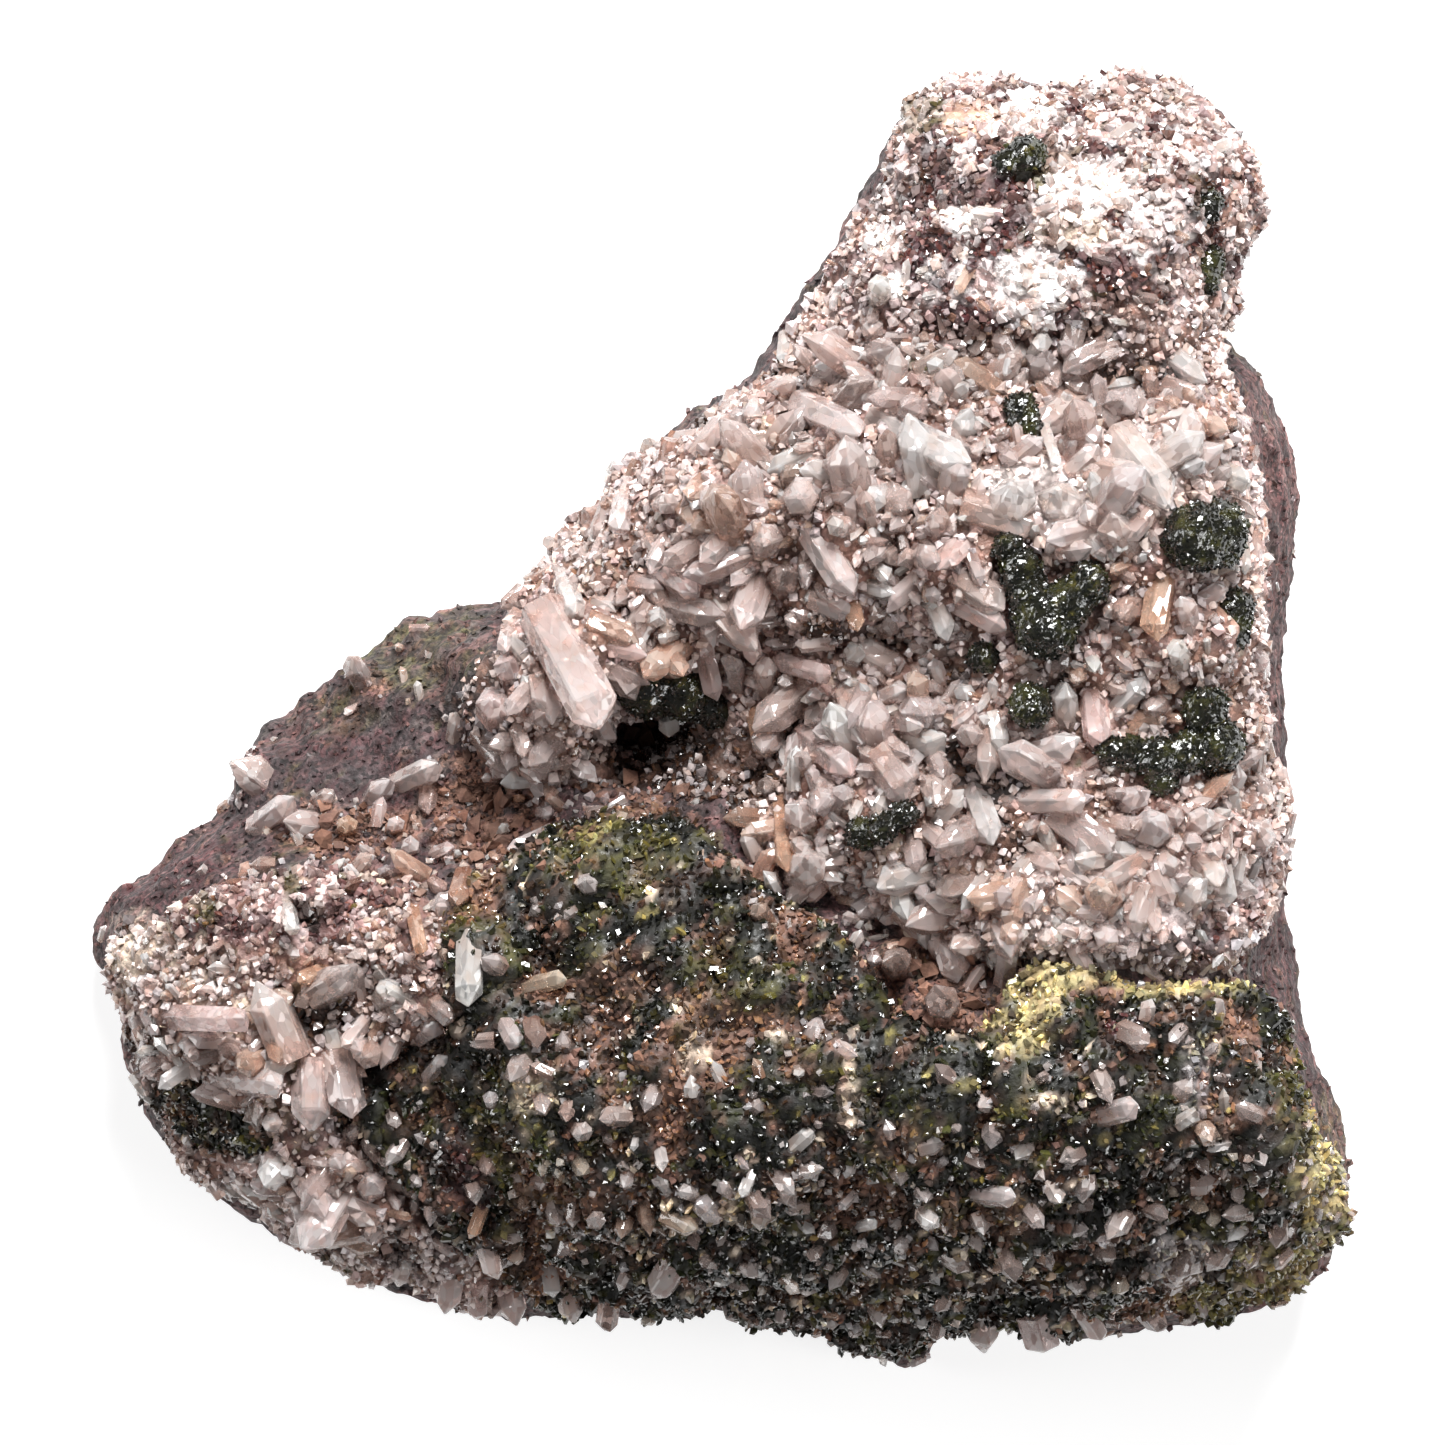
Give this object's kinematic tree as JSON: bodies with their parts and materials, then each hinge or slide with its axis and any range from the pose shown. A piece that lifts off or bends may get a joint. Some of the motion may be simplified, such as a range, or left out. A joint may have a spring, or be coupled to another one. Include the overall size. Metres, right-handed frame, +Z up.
{
  "type": "epidote crystal cluster",
  "caption": "Hand-sized quartz and epidote crystal druse on a purple rock matrix, lying on its flat cut back.",
  "frame": {"origin": "middle of the specimen's bounding box on the surface that it rests on", "axes": "+Z up, out of the crystal face; +Y towards the narrow head, which is the top of the picture; +X to the right of the picture"},
  "size_m": [0.1274, 0.1316, 0.0555],
  "materials": {
    "rock": "dull fine-grained purple-brown rock with orange-brown clay in its hollows",
    "quartz": "clear to cloudy pinkish quartz crystals with glossy faces",
    "epidote": "glossy black-green crystals with olive patches"
  },
  "bodies": {
    "root": {"matrix": "rock", "quartz_crust": "quartz", "quartz_crust_left": "quartz", "epidote_crust": "epidote", "epidote_patch_left": "epidote", "epidote_cluster_1": "epidote", "epidote_cluster_2": "epidote", "epidote_cluster_3": "epidote", "epidote_cluster_4": "epidote", "epidote_cluster_5": "epidote", "epidote_cluster_6": "epidote", "epidote_cluster_7": "epidote", "epidote_cluster_8": "epidote", "epidote_cluster_9": "epidote", "epidote_cluster_10": "epidote", "epidote_cluster_11": "epidote", "epidote_cluster_12": "epidote"}
  },
  "joints": []
}
